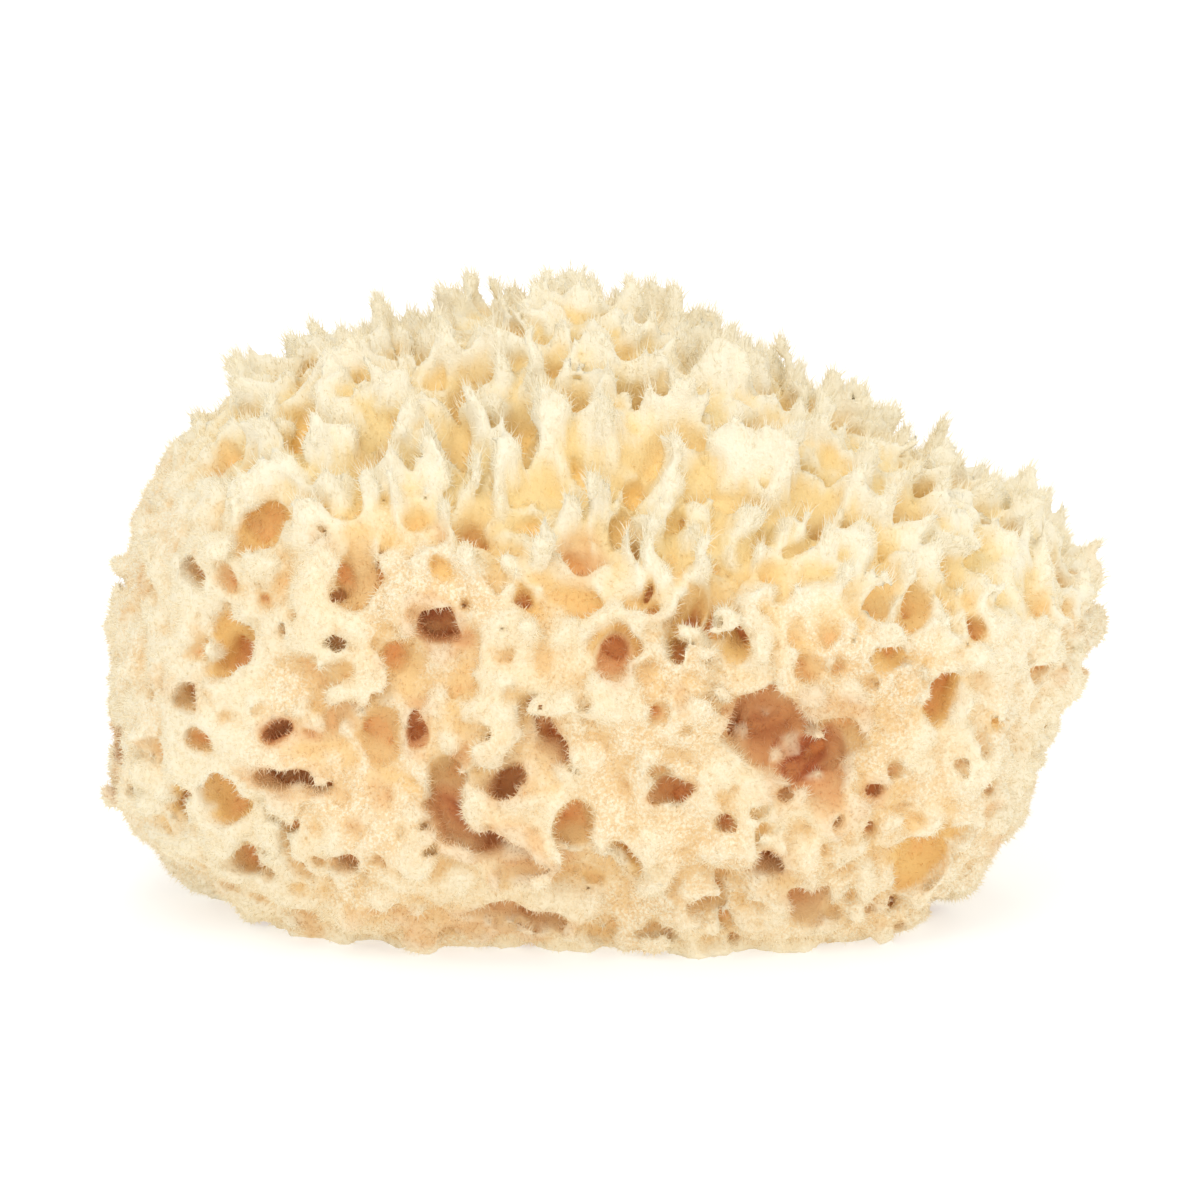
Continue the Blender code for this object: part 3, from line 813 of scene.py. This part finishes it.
class Sketch:
    """Adds nodes to one node tree."""

    def __init__(self, tree: bpy.types.NodeTree) -> None:
        """Starts on a tree, which loses the nodes that it had."""
        self.tree = tree
        tree.nodes.clear()

    def add(self, kind: str, sockets: dict | None = None, **settings: object) -> bpy.types.Node:
        """Adds a node.

        Args:
            kind: The node's type name.
            sockets: A value or a link for each input, by name or number.
            settings: The node's properties, set first.

        Returns:
            The node.
        """
        node = self.tree.nodes.new(kind)
        for name, value in settings.items():
            setattr(node, name, value)
        for name, value in (sockets or {}).items():
            self.feed(node.inputs[name], value)
        return node

    def out(self, kind: str, sockets: dict | None = None, output: int | str = 0, **settings: object) -> Socket:
        """Adds a node as add does, and returns one of its outputs."""
        return self.add(kind, sockets, **settings).outputs[output]

    def feed(self, socket: Socket, value: object) -> None:
        """Links a socket to another, or sets its value."""
        if isinstance(value, Term):
            value = value.socket
        if isinstance(value, Socket):
            self.tree.links.new(value, socket)
        else:
            socket.default_value = value

    def painted(self, name: str) -> "Term":
        """A number that is stored on the mesh."""
        return Term(self, self.out("ShaderNodeAttribute", output="Fac", attribute_name=name))

    def noise(self, size: float, stretch: Triple, detail: float) -> "Term":
        """A noise on the object's own coordinates, with cells of this size, drawn out by stretch."""
        place = self.out("ShaderNodeTexCoord", output="Object")
        place = self.out("ShaderNodeMapping", {"Vector": place, "Scale": stretch})
        sockets = {"Vector": place, "Scale": 1 / size, "Detail": detail, "Roughness": 0.6}
        return Term(self, self.out("ShaderNodeTexNoise", sockets))

    def mix(self, share: "Term", first: Triple | Socket, second: Triple | Socket) -> Socket:
        """One colour blended into another."""
        node = self.add("ShaderNodeMix", {0: share}, data_type="RGBA", clamp_factor=True)
        for number, colour in ((6, first), (7, second)):
            self.feed(node.inputs[number], (*colour, 1.0) if isinstance(colour, tuple) else colour)
        return node.outputs[2]


class Term:
    """A number that varies over the surface. Python's operators on it add Math nodes."""

    def __init__(self, sketch: Sketch, socket: Socket) -> None:
        """Holds one socket of the sketch's tree."""
        self.sketch = sketch
        self.socket = socket

    def math(self, operation: str, first: "Term | float", second: "Term | float") -> "Term":
        """One Math node on two values."""
        return Term(self.sketch, self.sketch.out("ShaderNodeMath", {0: first, 1: second}, operation=operation))

    def __add__(self, other: "Term | float") -> "Term":
        """self + other"""
        return self.math("ADD", self, other)

    def __radd__(self, other: "Term | float") -> "Term":
        """other + self"""
        return self.math("ADD", other, self)

    def __sub__(self, other: "Term | float") -> "Term":
        """self - other"""
        return self.math("SUBTRACT", self, other)

    def __rsub__(self, other: "Term | float") -> "Term":
        """other - self"""
        return self.math("SUBTRACT", other, self)

    def __mul__(self, other: "Term | float") -> "Term":
        """self * other"""
        return self.math("MULTIPLY", self, other)

    def __rmul__(self, other: "Term | float") -> "Term":
        """other * self"""
        return self.math("MULTIPLY", other, self)

    def between(self, low: float, high: float) -> "Term":
        """0 below low, 1 above high, and a smooth step between them."""
        sockets = {"Value": self, "From Min": low, "From Max": high}
        return Term(self.sketch, self.sketch.out("ShaderNodeMapRange", sockets, interpolation_type="SMOOTHSTEP"))


def new_material(name: str, draw: Callable[[Sketch], dict]) -> bpy.types.Material:
    """A material with one Principled shader. The function draw adds its nodes and returns the shader's inputs."""
    material = bpy.data.materials.new(name)
    material.use_nodes = True
    sketch = Sketch(material.node_tree)
    sketch.add("ShaderNodeOutputMaterial", {"Surface": sketch.out("ShaderNodeBsdfPrincipled", draw(sketch))})
    return material


@dataclass(frozen=True)
class SkeletonFinish:
    """The finish of the fibre skeleton: cream felt, golden crown hollows, and tan to red-brown pores. The gold and
    brown of the hollows are partly their own tone and partly painted shade, and the closed hollows give off painted
    light.
    """

    cream: Triple = (0.905, 0.78, 0.54)
    pale: Triple = (0.905, 0.835, 0.65)
    # gold to rust colour the dips, hollows and pores, partly as their own tone and partly as painted shade; tan also
    # colours the speckles.
    gold: Triple = (0.90, 0.71, 0.36)
    honey: Triple = (0.86, 0.57, 0.22)
    tan: Triple = (0.83, 0.59, 0.30)
    brown: Triple = (0.76, 0.41, 0.18)
    rust: Triple = (0.56, 0.19, 0.075)
    # ember and amber: the painted shade and painted light of the nearly closed hollows, in the flanks and in the crown;
    # black: no painted light.
    ember: Triple = (0.82, 0.42, 0.16)
    amber: Triple = (0.90, 0.65, 0.26)
    black: Triple = (0.0, 0.0, 0.0)
    roughness: float = 0.95
    sheen: float = 0.15
    painted_glow: float = 0.14
    grain: float = 0.22 * MM
    grain_share: float = 0.8

    def colour(self, sketch: Sketch) -> Socket:
        """The colour over the surface, with painted shade in its dips and hollows."""
        depth, tone, crown, hollow = (sketch.painted(name) for name in ("depth", "tone", "crown", "hollow"))
        ridge, crowd, cover, calm = (sketch.painted(name) for name in ("ridge", "crowd", "cover", "calm"))
        speckle = sketch.noise(0.45 * MM, EVEN, 2.0)
        mottle = sketch.noise(3.0 * MM, EVEN, 3.0)
        drift = sketch.noise(22 * MM, EVEN, 2.0)

        paler = (drift + 0.5 * crown + 0.25 * calm).between(0.35, 0.9)
        felt = sketch.mix(paler, self.cream, self.pale)
        # Painted shade: tan in the flanks and gold in the crown where fibre crowds round a point, as in dips and
        # hollows, less at the calmer ends.
        sunk = (crowd + 0.22 * (mottle - 0.5) + 0.16 * (speckle - 0.5)).between(0.46, 0.64)
        surface = sketch.mix(sunk * (1.0 - 0.4 * calm), felt, sketch.mix(crown, self.tan, self.gold))
        # Painted shade: gold low between the crown's tufts, where fibre covers most of the space round a point, broken
        # into upright streaks.
        streaks = sketch.noise(1.4 * MM, (1, 1, 0.12), 2.0)
        low = (cover + 0.3 * (streaks - 0.5)).between(0.28, 0.58) * crown
        surface = sketch.mix(low, surface, self.gold)
        grainy = 0.25 + 0.75 * drift.between(0.42, 0.58)
        dots = (speckle + 0.3 * mottle).between(0.54, 0.70) * (1.0 - 0.85 * crown) * grainy * (0.8 - 0.4 * calm)
        surface = sketch.mix(dots, surface, self.tan)
        # Tan and brown in and round the pores and dishes, by their tone and a mottle: partly their own colour and
        # partly painted shade of the hollows, kept off the crown.
        hollow_tone_and_shade = hollow * tone + 0.8 * (mottle - 0.5)
        surface = sketch.mix(hollow_tone_and_shade.between(0.22, 0.80) * (1.0 - crown) * 0.75, surface, self.tan)
        surface = sketch.mix(hollow_tone_and_shade.between(0.50, 0.90) * (1.0 - crown) * 0.35, surface, self.brown)
        # The inside of the pores, from honey to rust and browner the deeper it lies: partly each pore's own tone and
        # partly painted shade of its depth.
        deep = (depth + 1.5 * (mottle + speckle - 1.0)).between(1.6, 4.2) * hollow * (1.0 - 0.8 * crown)
        inside = sketch.mix(tone.between(0.15, 0.6), self.honey, self.tan)
        browner = tone * (0.6 + depth * 0.06) + 0.3 * (mottle - 0.5)
        inside = sketch.mix(browner.between(0.45, 0.90), inside, self.brown)
        inside = sketch.mix(browner.between(0.90, 1.30), inside, self.rust)
        surface = sketch.mix(deep * crowd.between(0.36, 0.52), surface, inside)
        # Painted shade: where fibre closes nearly all round a point, the hollow takes its warm shade colour.
        closed = (crowd + 0.2 * (speckle - 0.5)).between(0.62, 0.86)
        surface = sketch.mix(closed, surface, self.closed_hollow_shade(sketch))
        return sketch.mix(ridge * (1.0 - crowd.between(0.45, 0.6)) * 0.5, surface, self.pale)

    def closed_hollow_shade(self, sketch: Sketch) -> Socket:
        """The painted shade of a hollow that is nearly closed, which its painted light also takes: golden in the crown,
        and browner in the flanks.
        """
        return sketch.mix(sketch.painted("crown"), self.ember, self.amber)

    def draw(self, sketch: Sketch) -> dict:
        """The shader's inputs. Its emission is painted light: the nearly closed hollows give off their warm shade
        colour, in place of the light that comes through thin walls into them.
        """
        colour = self.colour(sketch)
        # Painted light: emission only in the nearly closed hollows, none elsewhere.
        painted_glow = sketch.mix(sketch.painted("crowd").between(0.55, 0.95), self.black, self.closed_hollow_shade(sketch))
        fibres = sketch.noise(0.35 * MM, EVEN, 2.0)
        strands = sketch.noise(0.7 * MM, (1, 1, 0.18), 1.0)
        height = fibres + strands * sketch.painted("crown")
        grain = {"Height": height, "Distance": self.grain, "Strength": self.grain_share}
        return {
            "Base Color": colour, "Roughness": self.roughness, "Specular IOR Level": self.sheen,
            "Emission Color": painted_glow, "Emission Strength": self.painted_glow, "Normal": sketch.out("ShaderNodeBump", grain),
        }


@dataclass(frozen=True)
class StrandFinish:
    """The finish of the loose fibres: as the felt they grow from at the root, painted shade included, and paler at the
    tip.
    """

    felt: SkeletonFinish
    tip: Triple = (0.93, 0.85, 0.65)
    roughness: float = 0.85
    sheen: float = 0.2

    def draw(self, sketch: Sketch) -> dict:
        """The shader's inputs."""
        share = sketch.painted("along").between(0.0, 1.0) * (0.6 - 0.3 * sketch.painted("hollow"))
        colour = sketch.mix(share, self.felt.colour(sketch), self.tip)
        return {"Base Color": colour, "Roughness": self.roughness, "Specular IOR Level": self.sheen}


@dataclass(frozen=True)
class Coat:
    """One kind of loose fibre.

    It holds about this many thousand triangles, spread by the named attribute. Lean is how far a fibre follows the
    tufts' growth and not the surface's normal, and tangle is how far it strays.
    """

    name: str
    attribute: str
    thousands: float
    length: Pair
    thickness: float
    joints: int
    bend: float
    lean: float
    tangle: float
    seed: int

    def strands(self) -> float:
        """How many strands its triangles are enough for. A strand has three sides, a closed foot and a point."""
        return self.thousands * 1000 / (6 * self.joints - 2)


COATS = (
    Coat("tuft_brushes", "brush", 196, (1.1 * MM, 3.0 * MM), 0.07 * MM, 3, 0.35, 0.75, 0.35, 61),
    Coat("rim_fringe", "fringe", 190, (0.5 * MM, 1.4 * MM), 0.07 * MM, 1, 0.0, 0.15, 0.6, 62),
    Coat("flank_fuzz", "fuzz", 196, (0.7 * MM, 1.5 * MM), 0.07 * MM, 1, 0.0, 0.1, 1.1, 63),
    Coat("second_fuzz", "fuzz", 196, (0.5 * MM, 1.1 * MM), 0.065 * MM, 1, 0.0, 0.3, 0.8, 64),
)


class StrandTree:
    """The Geometry Nodes that grow closed, tapering strands out of a surface."""

    inputs = {
        "Attribute": "String", "Density": "Float", "Shortest": "Float", "Longest": "Float", "Thickness": "Float",
        "Joints": "Int", "Lean": "Float", "Tangle": "Float", "Focus": "Vector", "Seed": "Int",
        "Material": "Material",
    }
    curl_size: float = 2.2 * MM

    def __init__(self) -> None:
        """Builds the tree."""
        self.tree = bpy.data.node_groups.new("strands", "GeometryNodeTree")
        self.sketch = Sketch(self.tree)
        face = self.tree.interface
        for side in ("INPUT", "OUTPUT"):
            face.new_socket("Geometry", in_out=side, socket_type="NodeSocketGeometry")
        self.keys = {
            name: face.new_socket(name, in_out="INPUT", socket_type="NodeSocket" + kind).identifier
            for name, kind in self.inputs.items()
        }
        self.given = self.sketch.add("NodeGroupInput").outputs
        self.build()

    def chance(self, low: float | Socket | Triple, high: float | Socket | Triple, seed_step: int) -> Socket:
        """A random number or vector for each point."""
        seed = Term(self.sketch, self.given["Seed"]) + seed_step
        first, output, kind = (0, 0, "FLOAT_VECTOR") if isinstance(low, tuple) else (2, 1, "FLOAT")
        sockets = {first: low, first + 1: high, 8: seed}
        return self.sketch.out("FunctionNodeRandomValue", sockets, output, data_type=kind)

    def strand(self) -> Socket:
        """One closed strand of unit length along Z, with its height stored as along."""
        sizes = {
            "Vertices": 3, "Side Segments": self.given["Joints"], "Radius Top": 0.0, "Radius Bottom": 1.0, "Depth": 1.0,
        }
        cone = self.sketch.out("GeometryNodeMeshCone", sizes, fill_type="NGON")
        place = self.sketch.out("GeometryNodeInputPosition")
        height = self.sketch.out("ShaderNodeSeparateXYZ", {0: place}, "Z")
        stored = {"Geometry": cone, "Name": "along", "Value": height}
        return self.sketch.out("GeometryNodeStoreNamedAttribute", stored, data_type="FLOAT", domain="POINT")

    def build(self) -> None:
        """Links the tree from the surface to the finished strands."""
        out, given = self.sketch.out, self.given
        painted = out("GeometryNodeInputNamedAttribute", {"Name": given["Attribute"]}, "Attribute", data_type="FLOAT")
        density = Term(self.sketch, painted) * given["Density"]
        spread = self.sketch.add(
            "GeometryNodeDistributePointsOnFaces",
            {"Mesh": given["Geometry"], "Density": density, "Seed": given["Seed"]}, distribute_method="RANDOM",
        ).outputs
        growth = {0: out("GeometryNodeInputPosition"), 1: given["Focus"]}
        growth = out("ShaderNodeVectorMath", growth, operation="SUBTRACT")
        growth = out("ShaderNodeVectorMath", {0: growth}, operation="NORMALIZE")
        lean = out("ShaderNodeMix", {0: given["Lean"], 4: spread["Normal"], 5: growth}, 1, data_type="VECTOR")
        stray = self.chance((-1.0, -1.0, -1.0), (1.0, 1.0, 1.0), 1)
        stray = out("ShaderNodeVectorMath", {0: stray, "Scale": given["Tangle"]}, operation="SCALE")
        way = out("ShaderNodeVectorMath", {0: lean, 1: stray}, operation="ADD")
        upright = out("FunctionNodeAlignRotationToVector", {"Vector": way}, axis="Z")
        spin = {"Axis": (0.0, 0.0, 1.0), "Angle": self.chance(0.0, 2 * math.pi, 2)}
        turn = {"Rotation": upright, "Rotate By": out("FunctionNodeAxisAngleToRotation", spin)}
        size = {0: given["Thickness"], 1: given["Thickness"], 2: self.chance(given["Shortest"], given["Longest"], 3)}
        planted = out("GeometryNodeInstanceOnPoints", {
            "Points": spread["Points"], "Instance": self.strand(),
            "Rotation": out("FunctionNodeRotateRotation", turn, rotation_space="LOCAL"),
            "Scale": out("ShaderNodeCombineXYZ", size),
        })
        whole = out("GeometryNodeRealizeInstances", {"Geometry": planted})
        dressed = out("GeometryNodeSetMaterial", {"Geometry": whole, "Material": given["Material"]})
        self.sketch.add("NodeGroupOutput", {0: dressed})

    def grow(self, coat: Coat, surface: Object, focus: Vector, finish: bpy.types.Material) -> Object:
        """Grows one coat of strands out of a surface.

        Args:
            coat: The kind of fibre.
            surface: The object that it grows from.
            focus: The point that the tufts grow away from.
            finish: The strands' material.

        Returns:
            The strands, as one plain mesh.
        """
        made = show(coat.name, surface.data.copy())
        grown = made.modifiers.new("strands", "NODES")
        grown.node_group = self.tree
        values = {
            "Attribute": coat.attribute, "Density": coat.strands() / painted_area(surface.data, coat.attribute),
            "Shortest": coat.length[0], "Longest": coat.length[1], "Thickness": coat.thickness, "Joints": coat.joints,
            "Lean": coat.lean, "Tangle": coat.tangle, "Focus": focus, "Seed": coat.seed, "Material": finish,
        }
        for name, value in values.items():
            grown[self.keys[name]] = value
        made.data = mesh = plain_mesh(made)
        mesh.materials.clear()
        mesh.materials.append(finish)
        self.curl(coat, mesh)
        log.info("%s: %d triangles", made.name, triangles(mesh))
        return made

    def curl(self, coat: Coat, mesh: Mesh) -> None:
        """Bends each strand over towards its tip, and lays what would reach under the cut on the ground."""
        places = gather(mesh.vertices, "co", 3)
        places[:, 2] = np.maximum(places[:, 2], 0.0)
        if coat.bend > 0:
            amount = gather(mesh.attributes["along"].data, "value") ** 2 * coat.bend * coat.length[1]
            for axis in range(3):
                places[:, axis] += lattice_noise(places, (self.curl_size,) * 3, coat.seed * 10 + axis) * amount
            places[:, 2] = np.maximum(places[:, 2], 0.0)
        mesh.vertices.foreach_set("co", places.ravel())
        mesh.update()


@dataclass
class Studio:
    """The pale floor, the soft lights and the camera at the photograph's angle."""

    frame_pixels: float = 1200.0
    sponge_pixels: float = 1005.0
    sponge_width: float = 150 * MM
    heart_pixel: Pair = (607.0, 608.0)
    distance: float = 1.6
    sensor: float = 36.0
    floor_size: float = 12.0
    floor_grey: tuple[float, ...] = (0.6, 0.6, 0.6, 1.0)
    floor_glow: float = 0.5
    white: tuple[float, ...] = (1.0, 1.0, 1.0, 1.0)
    lamps: tuple = (  # name, place, width and power
        ("key", (-0.3, -0.7, 1.1), 0.8, 5.2), ("fill", (0.9, -0.6, 0.5), 0.7, 2.0),
        ("back", (0.1, 0.9, 0.9), 0.8, 3.8), ("low", (-0.1, -1.2, 0.15), 0.8, 3.0),
    )
    surround: float = 0.70

    def camera(self) -> None:
        """Frames the sponge as the photograph does, through a long lens."""
        scale = self.sponge_width / self.sponge_pixels
        middle = self.frame_pixels / 2
        aim = HEART + CENTRING + RIGHT * (middle - self.heart_pixel[0]) * scale
        aim += UP * (self.heart_pixel[1] - middle) * scale
        data = bpy.data.cameras.new("camera")
        data.sensor_width = self.sensor
        data.lens = self.sensor * self.distance / (self.frame_pixels * scale)
        made = bpy.data.objects.new("camera", data)
        turned = Matrix((RIGHT, UP, TOWARD)).transposed().to_4x4()
        made.matrix_world = Matrix.Translation(aim + TOWARD * self.distance) @ turned
        bpy.context.scene.collection.objects.link(made)
        bpy.context.scene.camera = made

    def floor(self) -> None:
        """A plain white floor that fills the view, lit from below like a light table."""
        half = self.floor_size / 2
        mesh = bpy.data.meshes.new("floor")
        corners = [(-half, -half, 0.0), (half, -half, 0.0), (half, half, 0.0), (-half, half, 0.0)]
        mesh.from_pydata(corners, [], [(0, 1, 2, 3)])
        made = show("floor", mesh)
        sockets = {
            "Base Color": self.floor_grey, "Roughness": 0.9,
            "Emission Color": self.white, "Emission Strength": self.floor_glow,
        }
        mesh.materials.append(new_material("floor", lambda sketch: sockets))

    def light(self, name: str, place: Triple, size: float, power: float) -> None:
        """One soft square light that faces the sponge."""
        data = bpy.data.lights.new(name, "AREA")
        data.size = size
        data.energy = power
        made = bpy.data.objects.new(name, data)
        made.location = place
        made.rotation_euler = (HEART - Vector(place)).to_track_quat("-Z", "Y").to_euler()
        bpy.context.scene.collection.objects.link(made)

    def lights(self) -> None:
        """A bright surround, a key light from above and the front, and softer ones from the right, back and below."""
        world = bpy.data.worlds.new("surround")
        world.use_nodes = True
        background = world.node_tree.nodes["Background"].inputs
        background["Color"].default_value = self.white
        background["Strength"].default_value = self.surround
        bpy.context.scene.world = world
        for lamp in self.lamps:
            self.light(*lamp)

    def set_up(self) -> None:
        """Makes everything, and shows colours as they are."""
        self.camera()
        self.floor()
        self.lights()
        bpy.context.scene.view_settings.view_transform = "Standard"


def main() -> None:
    """Builds the sponge and the studio round it."""
    logging.basicConfig(level=logging.INFO, format="%(name)s %(relativeCreated)d ms: %(message)s")
    lump = Lump()
    openings = Openings(lump)
    openings.grow()
    grown = SpongeField(lump, openings)
    grown.build()
    body = SpongeBody(grown).build()
    felt = SkeletonFinish()
    body.data.materials.append(new_material("sponge_fibre", felt.draw))
    strands = StrandTree()
    focus = Vector((0.0, 0.0, -grown.focus_drop)) + CENTRING
    finish = new_material("loose_fibre", StrandFinish(felt).draw)
    coats = [strands.grow(coat, body, focus, finish) for coat in COATS]

    for piece in (body, *coats):
        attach(piece, BODY)
    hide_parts(NODE)
    Studio().set_up()


if __name__ == "__main__":
    main()
